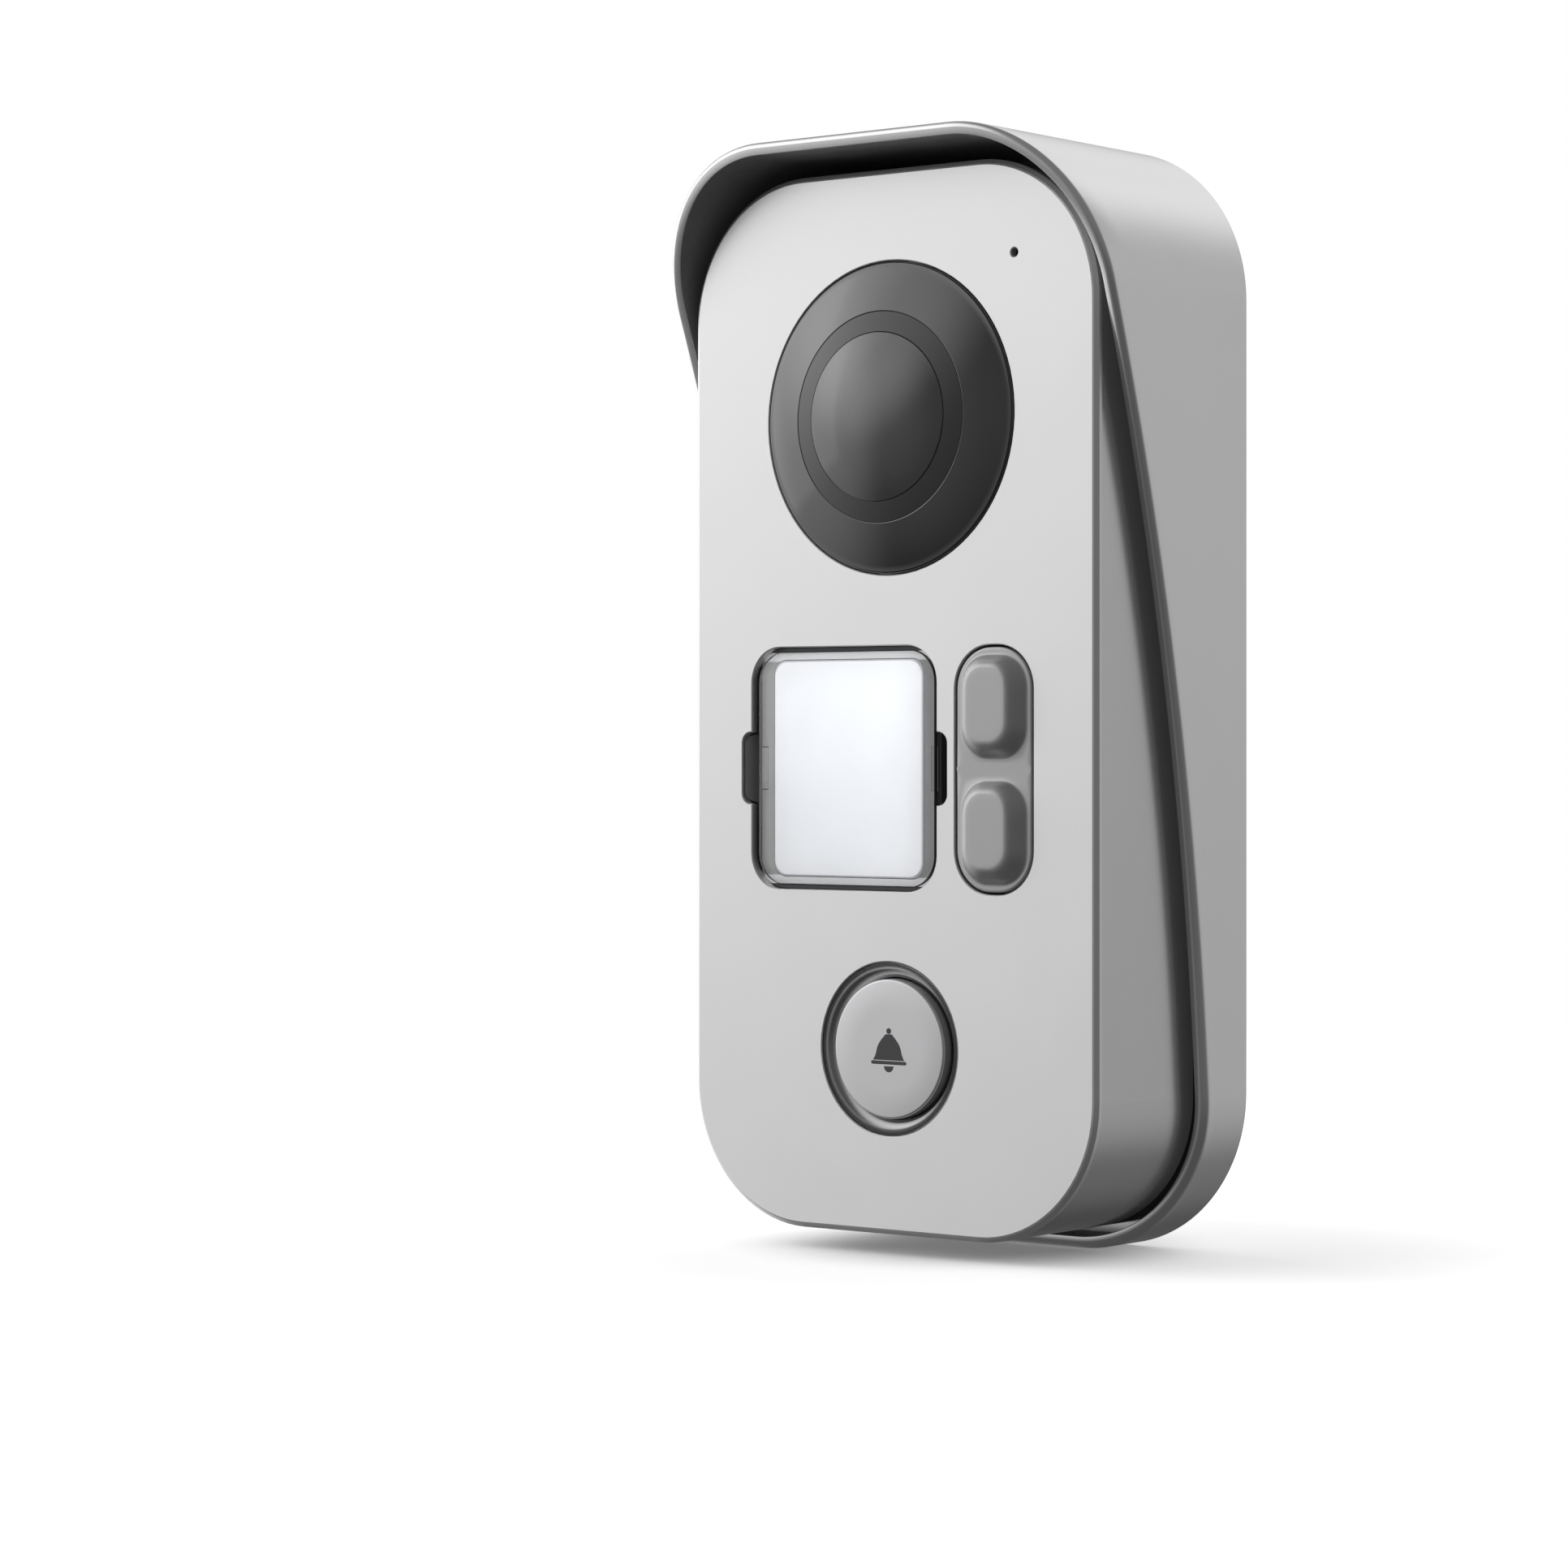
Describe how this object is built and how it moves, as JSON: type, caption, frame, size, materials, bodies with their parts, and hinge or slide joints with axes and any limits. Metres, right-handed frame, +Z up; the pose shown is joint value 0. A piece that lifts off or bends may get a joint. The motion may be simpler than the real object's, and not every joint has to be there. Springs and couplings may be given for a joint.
{
  "type": "video doorbell",
  "caption": "Wall-mounted video door station in a rain hood: camera behind a smoked dome, lit name plate, two raised side keys, round call button and badge reader.",
  "frame": {"origin": "centre of the four wall screws, in the plane of the wall", "axes": "+Z up along the station, -Y out of its front towards the visitor, +Y into the wall, +X to the right as the visitor looks at it"},
  "size_m": [0.0794, 0.0433, 0.1585],
  "materials": {
    "black_plastic": "moulded, fine matt",
    "black_ring": "polished black",
    "board_green": "solder-mask green",
    "brass": "machined",
    "button_silver": "satin silver paint",
    "clear_cover": "clear, polished",
    "component_black": "moulded epoxy",
    "component_grey": "brushed can",
    "cone_paper": "coated paper",
    "copper_coil": "enamelled wire",
    "dark_trim": "black chrome look",
    "grey_plastic": "moulded, satin",
    "grey_silicone": "soft matt silicone",
    "hood_silver": "satin silver paint outside",
    "housing_silver": "satin silver paint",
    "label_paper": "smooth white",
    "lead_black": "flexible jacket",
    "led_clear": "clear epoxy",
    "lens_glass": "polished, dark coating",
    "light_guide": "opal, frosted",
    "magnet_steel": "nickel plated",
    "mesh_black": "fine black mesh",
    "optical_glass": "polished",
    "plate_silver": "satin anodised, fine grain",
    "relay_case": "moulded, satin",
    "ribbon_orange": "polyimide film",
    "screw_steel": "zinc plated",
    "seal_rubber": "matt",
    "smoked_dome": "polished smoked polycarbonate",
    "terminal_green": "moulded, satin"
  },
  "bodies": {
    "station": {"rain_hood": "hood_silver", "lock_screw": "screw_steel", "lock_insert": "brass", "facade_plate": "plate_silver", "front_housing": "housing_silver", "rear_cover": "black_plastic", "housing_seal": "seal_rubber", "cover_screws": "screw_steel", "ir_window": "smoked_dome", "window_seal": "seal_rubber", "lens_ring": "black_ring", "lens_cover": "lens_glass", "light_baffle": "seal_rubber", "ir_led_board": "board_green", "ir_leds": "led_clear", "light_sensor": "component_black", "ir_board_spacers": "screw_steel", "camera_board": "board_green", "camera_board_screws": "screw_steel", "lens_barrel": "black_plastic", "lens_front_element": "optical_glass", "lens_rear_element": "optical_glass", "lens_holder": "black_plastic", "image_sensor": "component_black", "board_connectors": "light_guide", "camera_ribbon": "ribbon_orange", "mic_boot": "seal_rubber", "microphone": "component_grey", "mic_lead": "lead_black", "nameplate_tray": "grey_plastic", "label_light_guide": "light_guide", "name_label": "label_paper", "backlight_leds": "led_clear", "keypad_frame": "grey_silicone", "tact_switches": "component_black", "call_ring": "dark_trim", "call_spring": "screw_steel", "rfid_antenna": "copper_coil", "main_board": "board_green", "board_screws": "screw_steel", "board_chips": "component_black", "capacitors": "component_grey", "relay": "relay_case", "terminal_block": "terminal_green", "terminal_screws": "screw_steel", "speaker_mesh": "mesh_black", "speaker_frame": "black_plastic", "speaker_cone": "cone_paper", "speaker_magnet": "magnet_steel", "speaker_lead": "lead_black"},
    "call_button": {"call_button": "button_silver", "call_clip": "screw_steel", "call_plunger": "component_grey"},
    "upper_key": {"upper_key": "grey_silicone", "upper_plunger": "component_grey"},
    "lower_key": {"lower_key": "grey_silicone", "lower_plunger": "component_grey"},
    "nameplate_cover": {"nameplate_cover": "clear_cover"}
  },
  "joints": [
    {"name": "call_press", "type": "slide", "parent": "station", "child": "call_button", "axis": [0, 1, 0], "range_m": [0, 0.0008], "stiffness_N_per_m": 1500, "springref_m": -0.0004, "deforming": ["call_spring"]},
    {"name": "upper_key_press", "type": "slide", "parent": "station", "child": "upper_key", "axis": [0, 1, 0], "range_m": [0, 0.0008], "stiffness_N_per_m": 1500, "springref_m": -0.0004},
    {"name": "lower_key_press", "type": "slide", "parent": "station", "child": "lower_key", "axis": [0, 1, 0], "range_m": [0, 0.0008], "stiffness_N_per_m": 1500, "springref_m": -0.0004},
    {"name": "cover_pull", "type": "slide", "parent": "station", "child": "nameplate_cover", "axis": [0, -1, 0], "range_m": [0, 0.012]}
  ]
}
